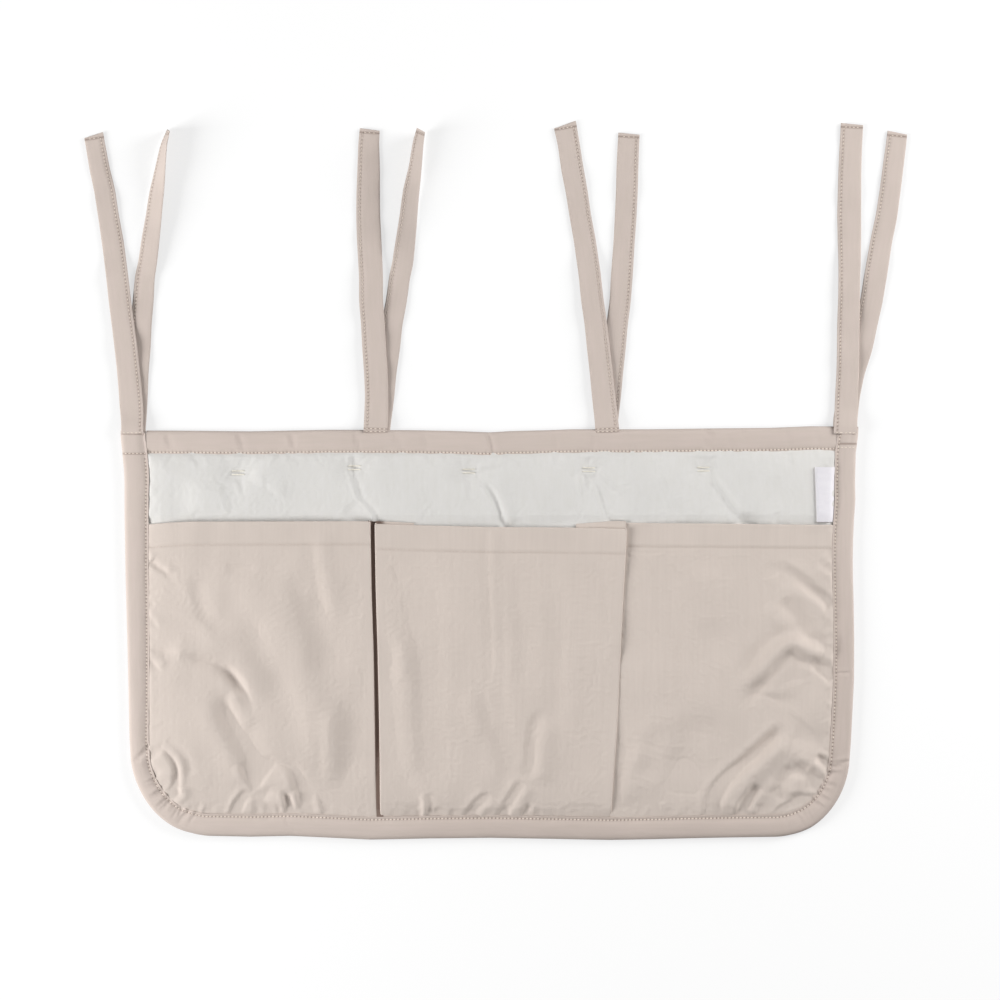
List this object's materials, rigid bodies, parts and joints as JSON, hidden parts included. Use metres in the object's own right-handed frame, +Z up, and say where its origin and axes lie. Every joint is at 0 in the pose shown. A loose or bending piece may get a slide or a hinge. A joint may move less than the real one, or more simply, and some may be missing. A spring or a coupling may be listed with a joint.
{
  "type": "hanging pocket organizer",
  "caption": "Quilted cloth organizer panel with rounded lower corners, pockets along its front and paired ties along its top edge, lying flat.",
  "frame": {"origin": "middle of the flat back face, half way between the outline's top and nominal bottom edge", "axes": "+X along the top edge to the right seen from the front, +Y from the bottom edge towards the ties, +Z up out of the pockets"},
  "size_m": [0.6737, 0.5865, 0.0186],
  "materials": {
    "beige_cotton": "plain-woven washed cotton",
    "lining_cotton": "off-white percale cotton",
    "wadding_fibre": "loose polyester wadding",
    "label_tape": "smooth woven tape, bare",
    "tack_thread": "spun sewing thread"
  },
  "bodies": {
    "panel": {"back_cloth": "beige_cotton", "wadding": "wadding_fibre", "front_lining": "lining_cotton", "edge_binding": "beige_cotton", "top_binding": "beige_cotton", "pocket_front_left": "beige_cotton", "pocket_front_right": "beige_cotton", "gusset_left": "beige_cotton", "gusset_right": "beige_cotton", "quilting_tack_1": "tack_thread", "quilting_tack_2": "tack_thread", "quilting_tack_3": "tack_thread", "quilting_tack_4": "tack_thread", "quilting_tack_5": "tack_thread"},
    "centre_pocket": {"pocket_front_centre": "beige_cotton"},
    "label": {"care_label": "label_tape"},
    "tie_1_rear": {"tie_1_rear": "beige_cotton"},
    "tie_1_front": {"tie_1_front": "beige_cotton"},
    "tie_2_rear": {"tie_2_rear": "beige_cotton"},
    "tie_2_front": {"tie_2_front": "beige_cotton"},
    "tie_3_rear": {"tie_3_rear": "beige_cotton"},
    "tie_3_front": {"tie_3_front": "beige_cotton"},
    "tie_4_rear": {"tie_4_rear": "beige_cotton"},
    "tie_4_front": {"tie_4_front": "beige_cotton"}
  },
  "joints": [
    {"name": "centre_pocket_open", "type": "hinge", "parent": "panel", "child": "centre_pocket", "pos_m": [0, -0.1524, 0.0042], "axis": [1, 0, 0], "range_deg": [0, 14], "deforming": ["gusset_left", "gusset_right"]},
    {"name": "label_flip", "type": "hinge", "parent": "panel", "child": "label", "pos_m": [0.2804, 0.115, 0.0063], "axis": [0, 1, 0], "range_deg": [0, 120]},
    {"name": "tie_1_rear_fold", "type": "hinge", "parent": "panel", "child": "tie_1_rear", "pos_m": [-0.2905, 0.166, 0.0061], "axis": [1, 0, 0], "range_deg": [0, 45]},
    {"name": "tie_1_front_fold", "type": "hinge", "parent": "tie_1_rear", "child": "tie_1_front", "pos_m": [-0.2905, 0.166, 0.0061], "axis": [1, 0, 0], "range_deg": [0, 90]},
    {"name": "tie_2_rear_fold", "type": "hinge", "parent": "panel", "child": "tie_2_rear", "pos_m": [-0.09, 0.166, 0.005], "axis": [1, 0, 0], "range_deg": [0, 45]},
    {"name": "tie_2_front_fold", "type": "hinge", "parent": "tie_2_rear", "child": "tie_2_front", "pos_m": [-0.09, 0.166, 0.005], "axis": [1, 0, 0], "range_deg": [0, 90]},
    {"name": "tie_3_rear_fold", "type": "hinge", "parent": "panel", "child": "tie_3_rear", "pos_m": [0.0955, 0.166, 0.005], "axis": [1, 0, 0], "range_deg": [0, 45]},
    {"name": "tie_3_front_fold", "type": "hinge", "parent": "tie_3_rear", "child": "tie_3_front", "pos_m": [0.0955, 0.166, 0.005], "axis": [1, 0, 0], "range_deg": [0, 90]},
    {"name": "tie_4_rear_fold", "type": "hinge", "parent": "panel", "child": "tie_4_rear", "pos_m": [0.2905, 0.166, 0.0061], "axis": [1, 0, 0], "range_deg": [0, 45]},
    {"name": "tie_4_front_fold", "type": "hinge", "parent": "tie_4_rear", "child": "tie_4_front", "pos_m": [0.2905, 0.166, 0.0061], "axis": [1, 0, 0], "range_deg": [0, 90]}
  ]
}
